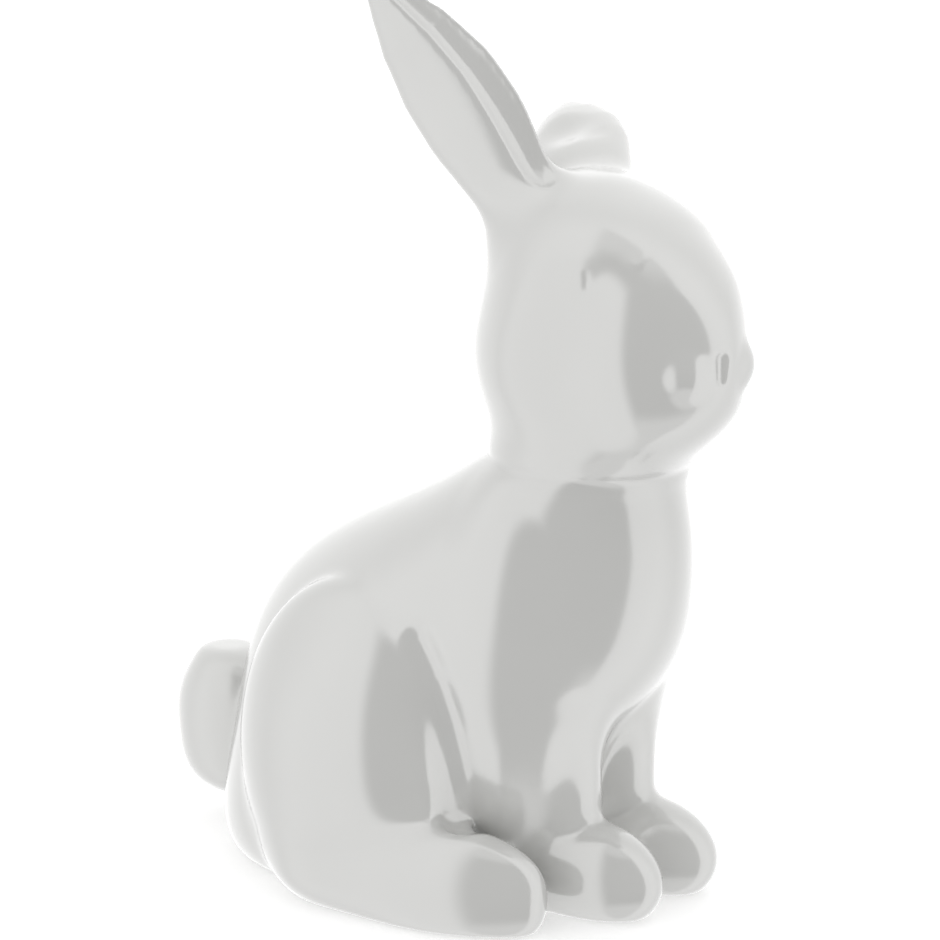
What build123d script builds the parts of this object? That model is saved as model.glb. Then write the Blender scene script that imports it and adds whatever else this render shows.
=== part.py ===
from build123d import *
import os

# A hollow glazed ceramic rabbit that sits upright. It faces -Y, +Z is up, and its right side is -X.
# The origin lies on the flat foot, in the middle plane. Lengths are in millimetres.

# Torso
torso_height = 97.0
torso_length = 97.0
torso_width = 76.0
neck_lead = 49.2
neck_width = 46.4
wall = 4.0
# Each row: height, lead of the centre, length and width
torso_shares = (
    (0.00, 0.00, 0.79, 0.86),
    (0.06, 0.00, 0.845, 0.97),
    (0.20, 0.01, 0.835, 1.00),
    (0.41, 0.21, 0.97, 1.00),
    (0.59, 0.385, 1.03, 0.95),
    (0.79, 0.63, 0.84, 0.79),
    (0.91, 0.84, 0.60, 0.66),
)

# Haunch: one large bulge on each side, cut off at the floor
haunch_length = 58.0
haunch_height = 78.0
haunch_depth = 28.0
haunch_side = 29.0
haunch_lead = 8.0
haunch_rise = 32.0

# Head: a column that goes on above the neck seam up to the crown, turned a little to its right
head_length = 63.0
head_width = 55.0
head_height = 63.0
head_lead = 6.2
head_turn = 12.0
# Each row: height above the seam, lead of the centre ahead of the neck, length and width
head_shares = (
    (0.100, 0.55, 0.800, 0.835),
    (0.240, 0.88, 0.940, 0.930),
    (0.420, 1.00, 1.005, 1.000),
    (0.600, 1.00, 0.930, 0.940),
    (0.775, 0.73, 0.820, 0.830),
    (0.900, 0.26, 0.625, 0.650),
    (0.965, -0.10, 0.395, 0.430),
    (1.000, -0.20, 0.140, 0.140),
)

# Face: places are measured in the head's own frame, from the middle of the neck seam
muzzle_width = 19.0
muzzle_height = 17.0
muzzle_depth = 14.0
muzzle_side = 5.4
muzzle_lead = 31.0
muzzle_rise = 27.0
eye_length = 12.5
eye_height = 10.5
eye_bulge = 5.2
eye_side = 20.0
eye_lead = 14.2
eye_rise = 44.5
eye_slit_width = 1.2
eye_slit_height = 4.4
eye_slit_lead = 20.2
lip_slit_width = 1.8
lip_slit_height = 7.0
lip_slit_rise = 25.2
mouth_width = 20.0
mouth_gap = 1.4
mouth_rise = 19.3
slit_depth = 1.6

# Ears: leaves along a bowed line, each with its broad side turned to its facing, in the head's own frame
right_ear_width = 23.0
left_ear_width = 20.5
ear_depth = 11.0
ear_side = 11.0
ear_trail = 9.0
ear_rise = 55.0
# Each row: distance along the line, width and depth
ear_shares = (
    (0.00, 0.68, 1.00),
    (0.15, 0.84, 0.97),
    (0.35, 1.00, 0.90),
    (0.55, 0.98, 0.80),
    (0.75, 0.74, 0.68),
    (0.88, 0.45, 0.54),
    (0.96, 0.23, 0.38),
    (1.00, 0.10, 0.18),
)
right_tip_side = 27.2
right_tip_trail = 40.2
right_tip_rise = 103.0
right_bow = -2.2
right_ear_facing = (-1, -1, 0)
left_middle_side = 21.8
left_middle_trail = 27.2
left_middle_rise = 61.5
left_tip_side = 34.0
left_tip_trail = 40.9
left_tip_rise = 65.5
left_ear_facing = (-0.6, 0, 1)
# The groove of an ear, and how far its middle lies towards the open edge and out of the ear's middle
groove_width = 9.0
groove_depth = 5.0
groove_shift = 4.5
groove_lift = 4.2
groove_shares = (
    (0.26, 0.50, 0.70),
    (0.32, 0.90, 1.00),
    (0.50, 1.00, 1.00),
    (0.68, 0.80, 0.85),
    (0.84, 0.50, 0.60),
    (0.94, 0.25, 0.35),
)

# Tail
tail_length = 31.0
tail_width = 25.0
tail_height = 33.5
tail_trail = 45.0
tail_rise = 6.0
# Each row: height, trail, length and width
tail_shares = (
    (0.00, 1.00, 0.45, 0.40),
    (0.06, 1.00, 0.68, 0.66),
    (0.22, 1.00, 0.92, 0.92),
    (0.45, 1.00, 1.00, 1.00),
    (0.72, 1.01, 0.93, 0.95),
    (0.90, 1.03, 0.68, 0.78),
    (0.97, 1.06, 0.50, 0.60),
    (1.00, 1.09, 0.32, 0.40),
)

# Forelegs: a column that spreads into the shoulder, and a paw
leg_width = 20.0
leg_length = 27.0
leg_side = 10.3
leg_lead = 45.4
shoulder_rise = 64.0
# Each row: height up to the shoulder, side, lead and size
leg_shares = (
    (0.00, 1.03, 1.00, 0.98),
    (0.30, 1.00, 1.00, 0.97),
    (0.60, 1.06, 0.98, 1.03),
    (1.00, 1.25, 0.92, 1.18),
)
paw_length = 38.0
paw_width = 21.0
paw_height = 25.0
paw_rise = 8.0
paw_side = 10.8
paw_lead = 56.0

# Hind feet: the left one is tucked further back
foot_length = 67.5
foot_width = 22.0
foot_height = 28.0
foot_heel = 8.0
foot_side = 36.0
foot_rise = 8.0
left_foot_tuck = 20.0
# Each row: place from heel to toe, side, width and height
foot_shares = (
    (0.00, 0.97, 0.30, 0.22),
    (0.05, 0.98, 0.62, 0.38),
    (0.16, 1.02, 0.90, 0.60),
    (0.34, 1.00, 1.00, 0.80),
    (0.55, 1.00, 1.00, 1.02),
    (0.73, 0.98, 0.93, 1.00),
    (0.87, 0.94, 0.74, 0.84),
    (0.96, 0.91, 0.47, 0.58),
    (1.00, 0.90, 0.16, 0.25),
)

# Pour hole in the foot, closed by a disc with the firing vent
pour_hole = 22.0
pour_trail_share = 0.155
disc_recess = 1.0
vent = 3.0


def ovals(rows):
    """A loft through ovals: each row is a plane and the half sizes along its x and y."""
    with BuildPart() as form:
        for plane, half_x, half_y in rows:
            with BuildSketch(plane):
                Circle(1)
                scale(by=(half_x, half_y, 1))
        loft()
    return form.part


def egg(center, radii):
    """An ellipsoid with its middle at the center."""
    with BuildPart() as form:
        Sphere(1)
        scale(by=radii)
    return form.part.moved(Location(center))


def above(form, level):
    """What is left of a form above a level plane."""
    with BuildPart() as cut:
        add(form)
        split(bisect_by=Plane.XY.offset(level), keep=Keep.TOP)
    return cut.part


def torso_form(inset):
    rows = []
    for height, lead, length, width in torso_shares:
        level = inset + height * (torso_height - inset)
        plane = Plane(origin=(0, -lead * neck_lead, level))
        rows.append((plane, width * torso_width / 2 - inset, length * torso_length / 2 - inset))
    ring = neck_width / 2 - inset
    rows.append((Plane(origin=(0, -neck_lead, torso_height)), ring, ring))
    return ovals(rows)


def haunch_form(side, inset):
    radii = (haunch_depth / 2 - inset, haunch_length / 2 - inset, haunch_height / 2 - inset)
    return above(egg((side * haunch_side, -haunch_lead, haunch_rise), radii), inset)


def in_head(form):
    """Moves a form from the head's own frame to its place on the neck."""
    return form.moved(Location((0, -neck_lead, torso_height), (0, 0, -head_turn)))


def head_form(inset):
    ring = neck_width / 2 - inset
    rows = [(Plane.XY, ring, ring)]
    for height, lead, length, width in head_shares:
        plane = Plane(origin=(0, -lead * head_lead, height * (head_height - inset)))
        shrink = 1 - 2 * inset / head_width
        rows.append((plane, width * head_width / 2 * shrink, length * head_length / 2 * shrink))
    return in_head(ovals(rows))


def muzzle_form(side):
    radii = (muzzle_width / 2, muzzle_depth / 2, muzzle_height / 2)
    return in_head(egg((side * muzzle_side, -muzzle_lead, muzzle_rise), radii))


def eye_form(side):
    radii = (eye_bulge / 2, eye_length / 2, eye_height / 2)
    return in_head(egg((side * eye_side, -eye_lead, eye_rise), radii))


def slit_form(center, facing, along, length, width):
    """The tool for a slit in the face: it comes from the air outside and stops at one depth in the wall."""
    with BuildPart() as form:
        with BuildSketch(Plane(origin=center, x_dir=along, z_dir=facing)):
            SlotOverall(length, width)
        extrude(amount=head_length)
    with BuildPart() as slit:
        add(in_head(form.part))
        add(head_form(slit_depth), mode=Mode.SUBTRACT)
    return slit.part


def ear_line(side):
    """The line along the middle of an ear, from inside the head to the tip."""
    root = Vector(side * ear_side, ear_trail, ear_rise)
    if side < 0:
        tip = Vector(-right_tip_side, right_tip_trail, right_tip_rise)
        middle = (root + tip) / 2 + Vector(0, right_bow, 0)
    else:
        tip = Vector(left_tip_side, left_tip_trail, left_tip_rise)
        middle = Vector(left_middle_side, left_middle_trail, left_middle_rise)
    with BuildLine() as line:
        Spline(root, middle, tip)
    return line.line


def leaf(side, width, depth, shares, shift=0, lift=0):
    """A long form along the ear's line, with its middle shifted across the ear and lifted out of it."""
    line = ear_line(side)
    facing = Vector(right_ear_facing) if side < 0 else Vector(left_ear_facing)
    rows = []
    for place, width_share, depth_share in shares:
        along = line % place
        across = facing.cross(along).normalized()
        out = along.cross(across).normalized()
        middle = line @ place + across * shift * width_share + out * lift * width_share
        plane = Plane(origin=middle, x_dir=across, z_dir=along)
        rows.append((plane, width_share * width / 2, depth_share * depth / 2))
    return in_head(ovals(rows))


def tail_form():
    rows = []
    for height, trail, length, width in tail_shares:
        plane = Plane(origin=(0, trail * tail_trail, tail_rise + height * tail_height))
        rows.append((plane, width * tail_width / 2, length * tail_length / 2))
    return ovals(rows)


def leg_form(side):
    rows = []
    for rise, side_share, lead, size in leg_shares:
        plane = Plane(origin=(side * side_share * leg_side, -lead * leg_lead, rise * shoulder_rise))
        rows.append((plane, size * leg_width / 2, size * leg_length / 2))
    return ovals(rows)


def paw_form(side):
    radii = (paw_width / 2, paw_length / 2, paw_height / 2)
    return above(egg((side * paw_side, -paw_lead, paw_rise), radii), 0)


def foot_form(side):
    tuck = left_foot_tuck if side > 0 else 0
    rows = []
    for place, side_share, width, height in foot_shares:
        origin = (side * side_share * foot_side, foot_heel + tuck - place * foot_length, foot_rise)
        plane = Plane(origin=origin, x_dir=(1, 0, 0), z_dir=(0, -1, 0))
        rows.append((plane, width * foot_width / 2, height * foot_height / 2))
    return above(ovals(rows), 0)


os.makedirs("parts", exist_ok=True)

body_form = torso_form(0) + haunch_form(-1, 0) + haunch_form(1, 0)

with BuildPart() as body_shell:
    add(body_form)
    add(torso_form(wall) + haunch_form(-1, wall) + haunch_form(1, wall), mode=Mode.SUBTRACT)
    with Locations((0, pour_trail_share * torso_length, 0)):
        Cylinder(pour_hole / 2, 2 * wall, align=(Align.CENTER, Align.CENTER, Align.MIN), mode=Mode.SUBTRACT)
body_shell.part.label = "body_shell"
export_step(body_shell.part, "parts/body_shell.step")

with BuildPart() as base_disc:
    with Locations((0, pour_trail_share * torso_length, disc_recess)):
        Cylinder(pour_hole / 2, wall - disc_recess, align=(Align.CENTER, Align.CENTER, Align.MIN))
        Cylinder(vent / 2, wall, align=(Align.CENTER, Align.CENTER, Align.MIN), mode=Mode.SUBTRACT)
base_disc.part.label = "base_disc"
export_step(base_disc.part, "parts/base_disc.step")

head_outer = head_form(0)
with BuildPart() as head_shell:
    add(head_outer)
    for side in (-1, 1):
        add(muzzle_form(side))
        add(eye_form(side))
    for side in (-1, 1):
        eye_edge = (0, -eye_slit_lead, eye_rise)
        eye_slit = slit_form(eye_edge, (side, 0, 0), (0, 0, 1), eye_slit_height, eye_slit_width)
        add(eye_slit, mode=Mode.SUBTRACT)
    lip_slit = slit_form((0, 0, lip_slit_rise), (0, -1, 0), (0, 0, 1), lip_slit_height, lip_slit_width)
    add(lip_slit, mode=Mode.SUBTRACT)
    mouth_slit = slit_form((0, 0, mouth_rise), (0, -1, 0), (1, 0, 0), mouth_width, mouth_gap)
    add(mouth_slit, mode=Mode.SUBTRACT)
    add(head_form(wall), mode=Mode.SUBTRACT)
head_shell.part.label = "head_shell"
export_step(head_shell.part, "parts/head_shell.step")

with BuildPart() as tail:
    add(tail_form())
    add(body_form, mode=Mode.SUBTRACT)
tail.part.label = "tail"
export_step(tail.part, "parts/tail.step")

for side, hand, ear_width in ((-1, "right", right_ear_width), (1, "left", left_ear_width)):
    with BuildPart() as ear:
        add(leaf(side, ear_width, ear_depth, ear_shares))
        groove = leaf(side, groove_width, groove_depth, groove_shares, -groove_shift, groove_lift)
        add(groove, mode=Mode.SUBTRACT)
        add(head_outer, mode=Mode.SUBTRACT)
    ear.part.label = f"{hand}_ear"
    export_step(ear.part, f"parts/{hand}_ear.step")

    with BuildPart() as foreleg:
        add(leg_form(side))
        add(paw_form(side))
        add(body_form, mode=Mode.SUBTRACT)
    foreleg.part.label = f"{hand}_foreleg"
    export_step(foreleg.part, f"parts/{hand}_foreleg.step")

    with BuildPart() as hind_foot:
        add(foot_form(side))
        add(body_form, mode=Mode.SUBTRACT)
    hind_foot.part.label = f"{hand}_hind_foot"
    export_step(hind_foot.part, f"parts/{hand}_hind_foot.step")
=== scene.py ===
import math

import bpy
import numpy as np
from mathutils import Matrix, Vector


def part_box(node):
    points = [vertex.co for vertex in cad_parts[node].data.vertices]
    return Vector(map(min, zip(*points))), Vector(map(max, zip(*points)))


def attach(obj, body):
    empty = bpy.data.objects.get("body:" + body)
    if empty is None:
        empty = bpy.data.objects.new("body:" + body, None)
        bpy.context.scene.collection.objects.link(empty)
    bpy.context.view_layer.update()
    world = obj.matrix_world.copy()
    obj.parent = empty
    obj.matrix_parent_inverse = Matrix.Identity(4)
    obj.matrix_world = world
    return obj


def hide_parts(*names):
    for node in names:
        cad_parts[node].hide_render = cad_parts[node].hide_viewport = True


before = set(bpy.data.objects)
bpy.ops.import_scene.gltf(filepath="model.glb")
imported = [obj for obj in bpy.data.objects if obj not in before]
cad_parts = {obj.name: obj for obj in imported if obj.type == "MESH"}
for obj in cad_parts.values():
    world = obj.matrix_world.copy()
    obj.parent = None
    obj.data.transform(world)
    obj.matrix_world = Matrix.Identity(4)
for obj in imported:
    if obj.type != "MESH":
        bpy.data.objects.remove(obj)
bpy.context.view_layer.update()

import openvdb
from mathutils import Matrix, Vector

# A white ceramic rabbit that sits upright. It faces -Y, +Z is up and its right side is -X.
# The cast pieces were joined with slip and dipped, so one glaze runs over all of their seams.
# Each CAD piece gives a field of distances to its surface. The fields are joined with soft seams, and
# fuller forms and small carving are worked into them. The upright ear is a form of its own, in the place
# of its CAD piece. The skin is then meshed and shared out, so each glazed piece is closed and stands for
# one CAD node. The base disc is bare clay and keeps its CAD form.

MM = 0.001
VOXEL = 0.6 * MM
# A field is known up to this distance from a surface, so blends are narrower
BAND = 8 * MM
TINY = 1e-6


def in_mm(*sizes):
    return tuple(size * MM for size in sizes)


def mirrored(place, side):
    """A place or direction of the left side, on the left for side 1 and on the right for side -1."""
    x, y, z = place
    return side * x, y, z


def between(a, b, share):
    return a + share * (b - a)


# Fields of distances

boxes = np.array([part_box(name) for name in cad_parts], float)
low_index = np.floor((boxes[:, 0].min(axis=0) - 2 * BAND) / VOXEL).astype(int)
high_index = np.ceil((boxes[:, 1].max(axis=0) + 2 * BAND) / VOXEL).astype(int)
field = np.full(high_index - low_index, BAND, np.float32)

# How far the bell curve of a blur is followed, in its own widths
BELL_REACH = 2.5
# How deep inside a filled piece the field levels off, and how far the filling reaches into the wall
FILL_DEPTH = 1.5 * MM
FILL_MARGIN = 1.4 * MM


def region(low, high):
    """The slices of the field that hold a box, the first index, and the coordinates there."""
    first = np.clip(np.floor(np.array(low) / VOXEL).astype(int), low_index, high_index)
    last = np.clip(np.ceil(np.array(high) / VOXEL).astype(int) + 1, low_index, high_index)
    cut = tuple(slice(a, b) for a, b in zip(first - low_index, last - low_index))
    axes = [np.arange(a, b, dtype=np.float32) * VOXEL for a, b in zip(first, last)]
    return cut, first, np.meshgrid(*axes, indexing="ij", sparse=True)


def soft_min(a, b, blend):
    """The lower of two fields, which joins their forms, with a rounded seam where they meet."""
    near = np.clip(1 - np.abs(a - b) / blend, 0, None)
    return np.minimum(a, b) - near * near * blend / 4


def soft_max(a, b, blend):
    """The higher of two fields, which keeps what their forms share, with a rounded edge."""
    return -soft_min(-a, -b, blend)


def smoothed(values, sigma):
    """A field blurred by a bell curve, which rounds its edges and hides the facets."""
    reach = math.ceil(BELL_REACH * sigma / VOXEL)
    steps = np.arange(-reach, reach + 1)
    weights = np.exp(-((steps * VOXEL / sigma) ** 2) / 2)
    weights /= weights.sum()
    for axis in range(3):
        margin = [(0, 0)] * 3
        margin[axis] = (reach, reach)
        padded = np.pad(values, margin, mode="edge")
        size = values.shape[axis]
        total = np.zeros_like(values)
        for step, weight in enumerate(weights):
            piece = [slice(None)] * 3
            piece[axis] = slice(step, step + size)
            total += np.float32(weight) * padded[tuple(piece)]
        values = total
    return values


def grown(mask, reach):
    """A mask grown by a number of voxels along each axis."""
    for axis in range(3):
        wide = mask.copy()
        for step in range(1, reach + 1):
            ahead = [slice(None)] * 3
            behind = [slice(None)] * 3
            ahead[axis] = slice(step, None)
            behind[axis] = slice(None, -step)
            wide[tuple(ahead)] |= mask[tuple(behind)]
            wide[tuple(behind)] |= mask[tuple(ahead)]
        mask = wide
    return mask


def node_field(name):
    """The distance to a CAD node, negative inside, over its own part of the field."""
    low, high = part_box(name)
    cut, first, _ = region(np.array(low) - BAND, np.array(high) + BAND)
    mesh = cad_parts[name].data
    mesh.calc_loop_triangles()
    points = np.empty(len(mesh.vertices) * 3, np.float32)
    mesh.vertices.foreach_get("co", points)
    corners = np.empty(len(mesh.loop_triangles) * 3, np.int32)
    mesh.loop_triangles.foreach_get("vertices", corners)
    grid = openvdb.FloatGrid.createLevelSetFromPolygons(
        points.reshape(-1, 3),
        triangles=corners.reshape(-1, 3).astype(np.uint32),
        transform=openvdb.createLinearTransform(VOXEL),
        halfWidth=BAND / VOXEL,
    )
    values = np.full(field[cut].shape, BAND, np.float32)
    grid.copyToArray(values, ijk=tuple(int(i) for i in first))
    return cut, values


def filled(values):
    """The field of a hollow piece with its cavity filled level by level."""
    solid = values < 0
    enclosed = np.ones_like(solid)
    for axis in (0, 1):
        enclosed &= np.maximum.accumulate(solid, axis)
        enclosed &= np.flip(np.maximum.accumulate(np.flip(solid, axis), axis), axis)
    inner = grown(enclosed & ~solid, max(1, round(FILL_MARGIN / VOXEL)))
    return np.where(inner, -FILL_DEPTH, np.maximum(values, -FILL_DEPTH)).astype(np.float32)


near_node = {}


def join(name, softness, blend, hollow=False):
    """Joins a node to the skin with a soft seam. Without a blend only its place is remembered."""
    cut, values = node_field(name)
    if hollow:
        values = filled(values)
    values = smoothed(values, softness)
    near_node[name] = cut, values
    if blend:
        field[cut] = soft_min(field[cut], values, blend)


def egg(center, radii, turn=None):
    """The slices and the field of an ellipsoid, exact near its surface."""
    center = np.array(center, float)
    reach = max(radii) + BAND
    cut, _, (x, y, z) = region(center - reach, center + reach)
    p = [x - center[0], y - center[1], z - center[2]]
    if turn is not None:
        rows = np.array(turn.transposed(), np.float32)
        p = [row[0] * p[0] + row[1] * p[1] + row[2] * p[2] for row in rows]
    first = np.sqrt(sum((q / r) ** 2 for q, r in zip(p, radii)))
    second = np.sqrt(sum((q / (r * r)) ** 2 for q, r in zip(p, radii))) + TINY
    return cut, np.clip(first * (first - 1) / second, -BAND, BAND).astype(np.float32)


def swell(center, radii, blend, turn=None):
    """Adds an ellipsoid to the skin."""
    cut, values = egg(center, radii, turn)
    field[cut] = soft_min(field[cut], values, blend)


def sink(center, radii, blend):
    """Takes an ellipsoid out of the skin."""
    cut, values = egg(center, radii)
    field[cut] = soft_max(field[cut], -values, blend)


def groove(points, radii, blend):
    """Cuts a groove along a line of points, with a radius at each."""
    points = [np.array(p, float) for p in points]
    reach = max(radii) + BAND / 2
    cut, _, (x, y, z) = region(np.min(points, axis=0) - reach, np.max(points, axis=0) + reach)
    tube = None
    for a, b, start, end in zip(points, points[1:], radii, radii[1:]):
        along = b - a
        share = ((x - a[0]) * along[0] + (y - a[1]) * along[1] + (z - a[2]) * along[2]) / (along @ along)
        share = np.clip(share, 0, 1)
        away = (x - a[0] - share * along[0]) ** 2 + (y - a[1] - share * along[1]) ** 2
        away = np.sqrt(away + (z - a[2] - share * along[2]) ** 2) - between(start, end, share)
        tube = away if tube is None else np.minimum(tube, away)
    field[cut] = soft_max(field[cut], -tube.astype(np.float32), blend)


LEAF_PLACES = 17


def leaf(line, facing, width, depth, shares, shift=0.0, lift=0.0):
    """The slices and the field of a long form along a line through three places.

    Its broad side is turned to its facing. Each row of shares: distance along the line, width and depth.
    The form can be shifted across the line towards its right-hand edge, and lifted out of its broad side.
    """
    places = np.linspace(0, 1, LEAF_PLACES)
    near, middle, far = (np.array(p, float) for p in line)
    bend = 2 * middle - (near + far) / 2
    spine = [(1 - t) ** 2 * near + 2 * t * (1 - t) * bend + t * t * far for t in places]
    runs = np.gradient(np.array(spine), axis=0)
    runs /= np.linalg.norm(runs, axis=1)[:, None]
    across = np.cross(np.array(facing, float), runs)
    across /= np.linalg.norm(across, axis=1)[:, None]
    out = np.cross(runs, across)
    rows = np.array(shares).T
    wide = np.interp(places, rows[0], rows[1])
    deep = np.interp(places, rows[0], rows[2])
    spine = np.array(spine) + (across * shift + out * lift) * wide[:, None]
    reach = width + BAND
    cut, _, (x, y, z) = region(spine.min(axis=0) - reach, spine.max(axis=0) + reach)
    nearest = None
    for i in range(len(places) - 1):
        a, b = spine[i], spine[i + 1]
        step = b - a
        share = ((x - a[0]) * step[0] + (y - a[1]) * step[1] + (z - a[2]) * step[2]) / (step @ step)
        # Only the last step ends in a flat cut
        over = share - 1 if i == len(places) - 2 else np.float32(-1)
        share = np.clip(share, 0, 1)
        offset = [x - a[0] - share * step[0], y - a[1] - share * step[1], z - a[2] - share * step[2]]
        gap = sum(q * q for q in offset)
        side = sum(q * between(s, e, share) for q, s, e in zip(offset, across[i], across[i + 1]))
        height = sum(q * between(s, e, share) for q, s, e in zip(offset, out[i], out[i + 1]))
        half_width = between(wide[i], wide[i + 1], share) * width / 2
        half_depth = between(deep[i], deep[i + 1], share) * depth / 2
        first = np.sqrt((side / half_width) ** 2 + (height / half_depth) ** 2)
        second = np.sqrt((side / half_width ** 2) ** 2 + (height / half_depth ** 2) ** 2) + TINY
        value = first * (first - 1) / second
        value = np.maximum(value, over * np.linalg.norm(step))
        if nearest is None:
            nearest, values = gap, value
        else:
            closer = gap < nearest
            nearest, values = np.where(closer, gap, nearest), np.where(closer, value, values)
    return cut, np.clip(values, -BAND, BAND).astype(np.float32)


# The cast pieces, joined

join("body_shell", softness=1.3 * MM, blend=0.5 * MM, hollow=True)
join("head_shell", softness=2.2 * MM, blend=2 * MM, hollow=True)
join("tail", softness=1.2 * MM, blend=3 * MM)
for name in ("right_foreleg", "left_foreleg"):
    join(name, softness=1.3 * MM, blend=7 * MM)
for name in ("right_hind_foot", "left_hind_foot"):
    join(name, softness=1.2 * MM, blend=7 * MM)
join("left_ear", softness=1.4 * MM, blend=4 * MM)
# The upright ear's form is made below, and this only tells which part of the skin belongs to it
join("right_ear", softness=1.4 * MM, blend=0)

# The head's own frame

head_low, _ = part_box("head_shell")
NECK_LEAD = 49.2 * MM
HEAD_TURN = math.radians(12)
head_turn = Matrix.Rotation(-HEAD_TURN, 3, "Z")


def in_head(x, y, z):
    """A place in millimetres from the middle of the neck seam, as the head is turned."""
    return head_turn @ (Vector((x, y, z)) * MM) + Vector((0, -NECK_LEAD, head_low.z))


def in_head_turn(x, y, z):
    """A direction in the head's own frame."""
    return head_turn @ Vector((x, y, z))


# The part of the field that a press reaches. Heights are taken from the neck seam.
PRESS_SIDE = 0.05
PRESS_LEAD = 0.11
PRESS_LOW = 8 * MM
PRESS_HIGH = 56 * MM
# Where a press begins to fade towards the neck and towards the crown, and how slowly it does
NECK_FADE = 9 * MM
NECK_FADE_SPAN = 14 * MM
CROWN_FADE = 45 * MM
CROWN_FADE_SPAN = 30 * MM


def press(normal, place, blend):
    """Flattens what stands out of the head beyond a plane, and fades out towards the neck and the crown."""
    low = (-PRESS_SIDE, -PRESS_LEAD, head_low.z - PRESS_LOW)
    high = (PRESS_SIDE, 0.0, head_low.z + PRESS_HIGH)
    cut, _, (x, y, z) = region(low, high)
    normal = normal.normalized()
    plane = (x - place.x) * normal.x + (y - place.y) * normal.y + (z - place.z) * normal.z
    below = np.clip(head_low.z + NECK_FADE - z, 0, None) ** 2 / NECK_FADE_SPAN
    above = np.clip(z - head_low.z - CROWN_FADE, 0, None) ** 2 / CROWN_FADE_SPAN
    field[cut] = soft_max(field[cut], plane - below - above, blend)


# The face. Places are in millimetres in the head's own frame, and those of a pair are the left one's.

CHEEK_FACING = (0.899, -0.438, -0.02)
CHEEK_PLACE = (27.5, -6, 28)
SNOUT_PLACE = (0, -22, 28)
SNOUT_RADII = in_mm(18, 18.5, 20)
MUZZLE_FACING = (0.66, -0.75, 0.04)
MUZZLE_PLACE = (12.1, -35.8, 28)
EYE_SLIT = ((20.0, -18.9, 46.8), (20.1, -19.3, 43.3))
EYE_SLIT_RADII = in_mm(0.8, 0.7)
WHISKER_PLACE = (7, -35.2, 26)
WHISKER_RADII = in_mm(4.8, 4.8, 5.4)
LIP_SLIT = ((-1.6, -41.4, 29.2), (-1.6, -41.0, 24.6))
LIP_SLIT_RADII = in_mm(1.6, 1.0)

# The cheeks are flat, the snout stands out of them, and the muzzle is flattened on both sides
for side in (-1, 1):
    facing = in_head_turn(*mirrored(CHEEK_FACING, side))
    press(facing, in_head(*mirrored(CHEEK_PLACE, side)), blend=5 * MM)
swell(in_head(*SNOUT_PLACE), SNOUT_RADII, blend=7 * MM, turn=head_turn)
for side in (-1, 1):
    facing = in_head_turn(*mirrored(MUZZLE_FACING, side))
    press(facing, in_head(*mirrored(MUZZLE_PLACE, side)), blend=4 * MM)
for side in (-1, 1):
    groove([in_head(*mirrored(place, side)) for place in EYE_SLIT], EYE_SLIT_RADII, blend=0.6 * MM)
    swell(in_head(*mirrored(WHISKER_PLACE, side)), WHISKER_RADII, blend=2.2 * MM, turn=head_turn)
groove([in_head(*place) for place in LIP_SLIT], LIP_SLIT_RADII, blend=1.0 * MM)

# The ears. Each row of shares: distance along the line, width and depth.

ear_shares = (
    (0.00, 0.68, 1.00),
    (0.15, 0.84, 0.97),
    (0.35, 1.00, 0.90),
    (0.55, 0.98, 0.80),
    (0.75, 0.74, 0.68),
    (0.88, 0.45, 0.54),
    (0.96, 0.23, 0.38),
    (1.00, 0.10, 0.18),
)
fold_shares = (
    (0.00, 0.85, 0.90),
    (0.12, 0.95, 0.95),
    (0.35, 1.00, 1.00),
    (0.55, 0.98, 0.95),
    (0.75, 0.74, 0.80),
    (0.92, 0.34, 0.45),
    (1.00, 0.15, 0.20),
)
RIGHT_EAR_LINE = ((-11, 9, 55), (-18.3, 22.4, 79), (-27.2, 40.2, 103))
RIGHT_EAR_FACING = (-0.891, -0.454, 0)
LEFT_EAR_LINE = ((11, 9, 55), (21.8, 27.2, 61.5), (34, 40.9, 65.5))
LEFT_EAR_FACING = (-0.514, 0, 0.857)
# The ball that hollows the ear laid back, and how far in millimetres it lies from the ear's middle
HOLLOW_RADII = in_mm(14, 14, 14)
HOLLOW_AWAY = 18.5

# The upright ear has its fold cut out of it before it is joined to the head
line = [in_head(*place) for place in RIGHT_EAR_LINE]
facing = in_head_turn(*RIGHT_EAR_FACING)
cut, ear = leaf(line, facing, width=23.5 * MM, depth=11 * MM, shares=ear_shares)
fold_cut, fold = leaf(
    line, facing, width=10.5 * MM, depth=9.5 * MM, shares=fold_shares, shift=-10.6 * MM, lift=4.4 * MM
)
whole = np.full(field.shape, BAND, np.float32)
whole[cut] = ear
whole[fold_cut] = soft_max(whole[fold_cut], -fold, blend=1.0 * MM)
field = soft_min(field, whole, blend=7 * MM)

# The ear laid back is filled out, and keeps a shallow hollow
line = [in_head(*place) for place in LEFT_EAR_LINE]
facing = in_head_turn(*LEFT_EAR_FACING)
cut, ear = leaf(line, facing, width=21.5 * MM, depth=12.5 * MM, shares=ear_shares)
field[cut] = soft_min(field[cut], ear, blend=4 * MM)
sink(line[1] + facing * HOLLOW_AWAY * MM, HOLLOW_RADII, blend=2 * MM)

# The valley in front of the haunch, and the full shoulder, thigh and rump around it

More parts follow.
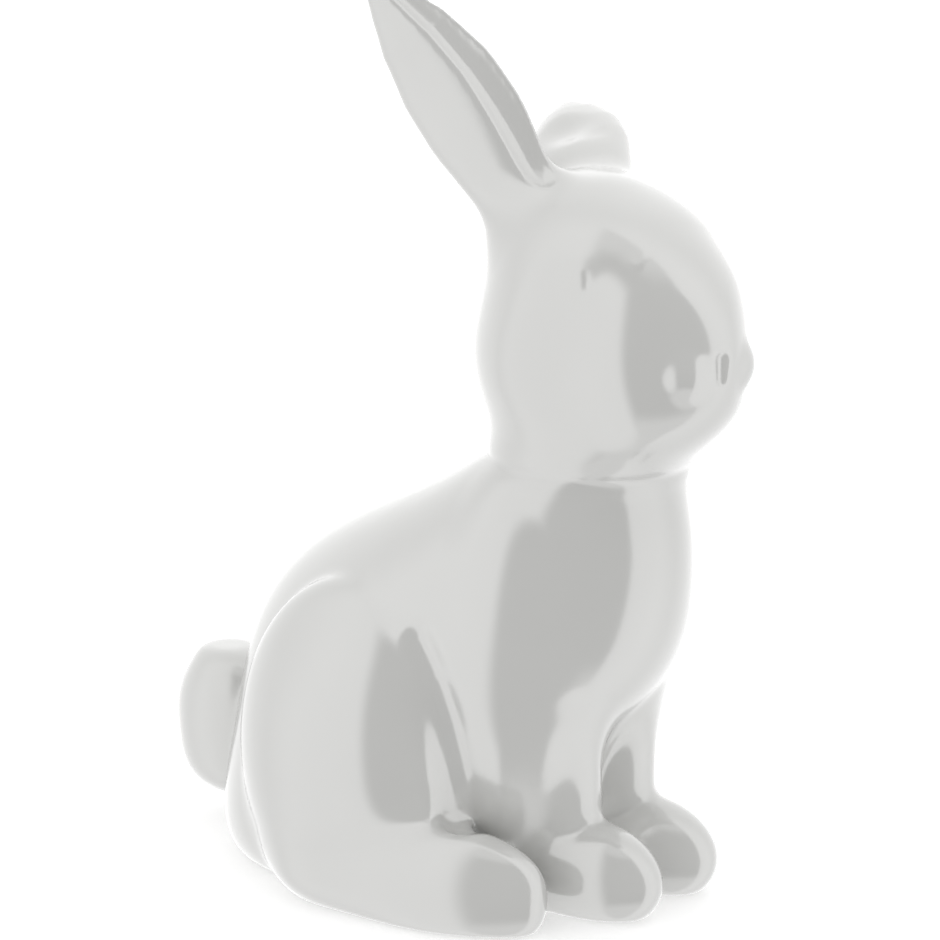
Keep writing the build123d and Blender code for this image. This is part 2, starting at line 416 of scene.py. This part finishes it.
# Places are in millimetres on the left side. Each full form: place, radii and blend.
VALLEY = ((36, -29, 62), (38, -34, 53), (36.5, -37.5, 42), (34.5, -39, 33), (33, -39, 24))
VALLEY_RADII = in_mm(2, 4, 6, 6, 4)
SHOULDER = ((15.6, -40.8, 54), (16, 16, 42), 4)
THIGH = ((24.5, -13.2, 36), (21.8, 21.8, 30), 5)
RUMP = ((27.8, -2, 30), (17.5, 18.5, 29), 7)
for side in (-1, 1):
    groove([Vector(mirrored(place, side)) * MM for place in VALLEY], VALLEY_RADII, blend=4 * MM)
    for place, radii, blend in (SHOULDER, THIGH, RUMP):
        swell(Vector(mirrored(place, side)) * MM, in_mm(*radii), blend * MM)

# The flat foot and the pour hole

z_axis = (np.arange(low_index[2], high_index[2], dtype=np.float32) * VOXEL)[None, None, :]
field = soft_max(field, np.broadcast_to(-z_axis, field.shape), blend=1 * MM)
disc_low, disc_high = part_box("base_disc")
disc_middle = (disc_low + disc_high) / 2
disc_radius = (disc_high.x - disc_low.x) / 2
cut, _, (x, y, z) = region(
    (disc_low.x - BAND, disc_low.y - BAND, -BAND), (disc_high.x + BAND, disc_high.y + BAND, disc_high.z)
)
hole = np.hypot(x - disc_middle.x, y - disc_middle.y) - disc_radius
hole = np.maximum(hole, z - disc_high.z)
field[cut] = soft_max(field[cut], -hole, blend=0.6 * MM)

# The glaze's skin

# A cell's far corner has to lie inside the field too
LAST_CELL = 1.001
SETTLING_STEPS = 3
# How far a glazed piece reaches into a joint, straight in from its rim, before it is closed
COLLAR = 2 * MM


def sampled(points, values=field, start=(0, 0, 0)):
    """A field's values at some points, between its voxels."""
    place = np.clip(points / VOXEL - low_index - start, 0, np.array(values.shape) - LAST_CELL)
    base = np.floor(place).astype(int)
    part = (place - base).astype(np.float32)
    total = 0
    for corner in np.ndindex(2, 2, 2):
        weight = np.prod(np.where(corner, part, 1 - part), axis=1)
        i, j, k = (base + corner).T
        total = total + weight * values[i, j, k]
    return total


def slopes(points):
    """The direction in which the field rises at some points, which is the skin's normal there."""
    steps = np.eye(3) * VOXEL
    slope = np.stack([sampled(points + step) - sampled(points - step) for step in steps], axis=1)
    return slope / (2 * VOXEL)


def skin_points():
    """The places, the normals and the four-sided faces of the whole skin."""
    grid = openvdb.FloatGrid(BAND)
    grid.transform = openvdb.createLinearTransform(VOXEL)
    grid.copyFromArray(field, ijk=tuple(int(i) for i in low_index))
    points, quads = grid.convertToQuads(0.0)
    points = points.astype(float)
    for _ in range(SETTLING_STEPS):
        slope = slopes(points)
        points -= slope * (sampled(points) / (slope * slope).sum(axis=1))[:, None]
    normals = slopes(points)
    normals /= np.linalg.norm(normals, axis=1)[:, None]
    return points, normals, quads.astype(int)


def nearest_node(points):
    """The number of the node that each point lies nearest to."""
    distances = []
    for cut, values in near_node.values():
        start = np.array([piece.start for piece in cut])
        distances.append(sampled(points, values, start))
    return np.argmin(distances, axis=0)


def rings(rim):
    """The rim's edges, grouped by the ring that they belong to."""
    leader = {int(a): int(a) for a in rim.ravel()}

    def top(a):
        while leader[a] != a:
            leader[a] = leader[leader[a]]
            a = leader[a]
        return a

    for a, b in rim.tolist():
        leader[top(a)] = top(b)
    groups = {}
    for a, b in rim.tolist():
        groups.setdefault(top(a), []).append((a, b))
    return list(groups.values())


def glazed_piece(name, points, normals, quads):
    """One node's share of the skin. Each rim is closed inside the joint by a collar and a fan of faces."""
    used, places = np.unique(quads, return_inverse=True)
    corners = places.reshape(-1, 4)
    sides = np.concatenate([corners[:, [i, (i + 1) % 4]] for i in range(4)])
    _, first, count = np.unique(np.sort(sides, axis=1), axis=0, return_index=True, return_counts=True)
    rim = sides[first[count == 1]]
    own, outward = points[used], normals[used]
    caps, added = [], []
    for ring in rings(rim):
        ends = [a for a, _ in ring]
        middle = own[ends].mean(axis=0)
        size = np.linalg.norm(own[ends] - middle, axis=1).mean()
        inner = {a: len(used) + len(added) + i for i, a in enumerate(sorted(set(ends)))}
        added += [own[a] - outward[a] * COLLAR for a in inner]
        added.append(middle - outward[ends].mean(axis=0) * size / 2)
        last = len(used) + len(added) - 1
        caps += [(b, a, inner[a]) for a, b in ring]
        caps += [(b, inner[a], inner[b]) for a, b in ring]
        caps += [(inner[b], inner[a], last) for a, b in ring]
    mesh = bpy.data.meshes.new(name)
    mesh.from_pydata(own.tolist() + [list(p) for p in added], [], corners.tolist() + caps)
    mesh.shade_smooth()
    bends = outward[corners.ravel()]
    flat = [mesh.polygons[len(corners) + i].normal for i in range(len(caps))]
    flat = np.repeat(np.array(flat).reshape(-1, 3), 3, axis=0)
    mesh.normals_split_custom_set(np.concatenate([bends, flat]).tolist())
    piece = bpy.data.objects.new(name, mesh)
    bpy.context.scene.collection.objects.link(piece)
    return piece


points, normals, quads = skin_points()
owner = nearest_node(points[quads].mean(axis=1))
glaze = []
for number, name in enumerate(near_node):
    piece = glazed_piece(name + "_glaze", points, normals, quads[owner == number])
    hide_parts(name)
    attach(piece, "root")
    glaze.append(piece)


# Materials


def new_material(name):
    """A material with its nodes and its links."""
    material = bpy.data.materials.new(name)
    material.use_nodes = True
    return material, material.node_tree.nodes, material.node_tree.links


def noise(nodes, links, scale, detail):
    """A noise texture that sits on the object."""
    node = nodes.new("ShaderNodeTexNoise")
    node.inputs["Scale"].default_value = scale
    node.inputs["Detail"].default_value = detail
    place = nodes.new("ShaderNodeTexCoord")
    links.new(place.outputs["Object"], node.inputs["Vector"])
    return node


def tinted(nodes, links, texture, dark, light, start, end):
    """Colours the shader from a dark to a light tint by a texture, between two of its values."""
    ramp = nodes.new("ShaderNodeValToRGB")
    ramp.color_ramp.elements[0].position = start
    ramp.color_ramp.elements[0].color = dark
    ramp.color_ramp.elements[1].position = end
    ramp.color_ramp.elements[1].color = light
    links.new(texture.outputs["Fac"], ramp.inputs["Fac"])
    links.new(ramp.outputs["Color"], nodes["Principled BSDF"].inputs["Base Color"])


def bumped(nodes, links, texture, strength, distance):
    """Bends the shader's normals by a texture."""
    bump = nodes.new("ShaderNodeBump")
    bump.inputs["Strength"].default_value = strength
    bump.inputs["Distance"].default_value = distance
    links.new(texture.outputs["Fac"], bump.inputs["Height"])
    links.new(bump.outputs["Normal"], nodes["Principled BSDF"].inputs["Normal"])


GLAZE_DARK = (0.61, 0.61, 0.595, 1)
GLAZE_LIGHT = (0.63, 0.63, 0.615, 1)
CLAY_DARK = (0.66, 0.63, 0.57, 1)
CLAY_LIGHT = (0.80, 0.77, 0.71, 1)


def glaze_material():
    """White glaze with faint clouds in its colour and gloss, and a faint ripple."""
    material, nodes, links = new_material("white_glaze")
    shader = nodes["Principled BSDF"]
    shader.inputs["IOR"].default_value = 1.8
    shader.inputs["Coat Weight"].default_value = 0.35
    shader.inputs["Coat Roughness"].default_value = 0.10
    clouds = noise(nodes, links, scale=28, detail=3)
    tinted(nodes, links, clouds, GLAZE_DARK, GLAZE_LIGHT, start=0.35, end=0.7)
    sheen = nodes.new("ShaderNodeMapRange")
    sheen.inputs["To Min"].default_value = 0.13
    sheen.inputs["To Max"].default_value = 0.19
    links.new(clouds.outputs["Fac"], sheen.inputs["Value"])
    links.new(sheen.outputs["Result"], shader.inputs["Roughness"])
    ripple = noise(nodes, links, scale=160, detail=2)
    bumped(nodes, links, ripple, strength=0.03, distance=0.2 * MM)
    return material


def bisque_material():
    """Bare fired clay with a fine grain."""
    material, nodes, links = new_material("bare_clay")
    nodes["Principled BSDF"].inputs["Roughness"].default_value = 0.85
    grain = noise(nodes, links, scale=900, detail=4)
    tinted(nodes, links, grain, CLAY_DARK, CLAY_LIGHT, start=0, end=1)
    bumped(nodes, links, grain, strength=0.4, distance=0.3 * MM)
    return material


white_glaze = glaze_material()
for piece in glaze:
    piece.data.materials.append(white_glaze)
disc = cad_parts["base_disc"]
disc.data.materials.clear()
disc.data.materials.append(bisque_material())


# The stage, the lights and the camera

CAMERA_TURN = math.radians(-55)
CAMERA_RISE = math.radians(14.5)
CAMERA_AWAY = 1.2
PICTURE_WIDTH = 204.35 * MM
TARGET = Vector((0, -18 * MM, 90 * MM))
SENSOR_WIDTH = 36
NEAREST = 0.05
FARTHEST = 20
# Where the tent's opening ends on both sides, as turned from the camera
LEFT_EDGE = math.radians(-30)
RIGHT_EDGE = math.radians(48)
FLOOR_REACH = 4.0


def direction(turn, rise):
    """From the object outwards: turn 0 is -Y, and a quarter turn on is +X."""
    return Vector((math.sin(turn) * math.cos(rise), -math.cos(turn) * math.cos(rise), math.sin(rise)))


def aimed(thing, place, target):
    """Puts a thing in a place and turns it to look at a target."""
    thing.location = place
    thing.rotation_mode = "QUATERNION"
    thing.rotation_quaternion = (target - place).to_track_quat("-Z", "Y")


def studio_light(fill, bright, dim, behind, overhead, underneath):
    """A tent of white cloth around the object, with an opening towards the front for the camera.

    The cloth shows in the glaze as bright fields and the opening as a dark one, with a soft edge on one side
    and a crisp one on the other. The open front is filled evenly, and the backdrop stays white.
    """
    world = bpy.data.worlds.new("studio")
    bpy.context.scene.world = world
    world.use_nodes = True
    nodes, links = world.node_tree.nodes, world.node_tree.links
    nodes.clear()
    toward = nodes.new("ShaderNodeTexCoord").outputs["Generated"]
    rays = nodes.new("ShaderNodeLightPath")

    def panel(facing, edge, softness, strength, before=dim):
        """One strength in the directions that lie past an edge along the facing, and another before it."""
        along = nodes.new("ShaderNodeVectorMath")
        along.operation = "DOT_PRODUCT"
        along.inputs[1].default_value = facing
        links.new(toward, along.inputs[0])
        ramp = nodes.new("ShaderNodeMapRange")
        ramp.interpolation_type = "SMOOTHSTEP"
        ramp.inputs["From Min"].default_value = edge - softness
        ramp.inputs["From Max"].default_value = edge + softness
        ramp.inputs["To Min"].default_value = before
        ramp.inputs["To Max"].default_value = strength
        links.new(along.outputs["Value"], ramp.inputs["Value"])
        return ramp.outputs["Result"]

    def chosen(operation, a, b):
        """The brighter of two strengths for MAXIMUM, and the dimmer for MINIMUM."""
        node = nodes.new("ShaderNodeMath")
        node.operation = operation
        links.new(a, node.inputs[0])
        links.new(b, node.inputs[1])
        return node.outputs["Value"]

    def background(strength):
        """Even white light."""
        node = nodes.new("ShaderNodeBackground")
        node.inputs["Color"].default_value = (1, 1, 1, 1)
        node.inputs["Strength"].default_value = strength
        return node

    def either(ray, a, b):
        """The second light for one kind of ray, and the first for all others."""
        node = nodes.new("ShaderNodeMixShader")
        links.new(rays.outputs[ray], node.inputs["Fac"])
        links.new(a, node.inputs[1])
        links.new(b, node.inputs[2])
        return node.outputs["Shader"]

    left_facing = direction(CAMERA_TURN + LEFT_EDGE - math.pi / 2, 0)
    right_facing = direction(CAMERA_TURN + RIGHT_EDGE + math.pi / 2, 0)
    back_facing = direction(CAMERA_TURN + math.pi, 0)
    left = panel(left_facing, edge=0, softness=0.12, strength=bright)
    right = panel(right_facing, edge=0, softness=0.04, strength=bright)
    top = panel((0, 0, 1), edge=0.87, softness=0.07, strength=overhead)
    bottom = panel((0, 0, -1), edge=0.70, softness=0.12, strength=underneath)
    back = panel(back_facing, edge=0.1, softness=0.3, strength=behind, before=bright)
    cloth = chosen("MAXIMUM", chosen("MAXIMUM", left, right), chosen("MAXIMUM", top, bottom))
    tent = background(1)
    links.new(chosen("MINIMUM", cloth, back), tent.inputs["Strength"])
    filled_light = either("Is Glossy Ray", background(fill).outputs[0], tent.outputs[0])
    shown = either("Is Camera Ray", filled_light, background(1).outputs[0])
    links.new(shown, nodes.new("ShaderNodeOutputWorld").inputs["Surface"])


studio_light(fill=0.95, bright=2.1, dim=0.15, behind=1.5, overhead=1.1, underneath=1.3)

floor_mesh = bpy.data.meshes.new("floor")
floor_corners = [(x * FLOOR_REACH, y * FLOOR_REACH, 0) for x, y in ((-1, -1), (1, -1), (1, 1), (-1, 1))]
floor_mesh.from_pydata(floor_corners, [], [(0, 1, 2, 3)])
floor = bpy.data.objects.new("floor", floor_mesh)
bpy.context.scene.collection.objects.link(floor)
floor_material, nodes, links = new_material("pale_floor")
floor_shader = nodes["Principled BSDF"]
floor_shader.inputs["Base Color"].default_value = (0.93, 0.93, 0.93, 1)
floor_shader.inputs["Roughness"].default_value = 0.7
floor_shader.inputs["Emission Color"].default_value = (1, 1, 1, 1)
floor_shader.inputs["Emission Strength"].default_value = 0.28
floor_mesh.materials.append(floor_material)
floor.visible_diffuse = False
floor.visible_glossy = False
bpy.context.scene.view_settings.view_transform = "Standard"

camera_data = bpy.data.cameras.new("camera")
camera_data.sensor_width = SENSOR_WIDTH
camera_data.lens = SENSOR_WIDTH * CAMERA_AWAY / PICTURE_WIDTH
camera_data.clip_start = NEAREST
camera_data.clip_end = FARTHEST
camera = bpy.data.objects.new("camera", camera_data)
bpy.context.scene.collection.objects.link(camera)
aimed(camera, TARGET + direction(CAMERA_TURN, CAMERA_RISE) * CAMERA_AWAY, TARGET)
bpy.context.scene.camera = camera
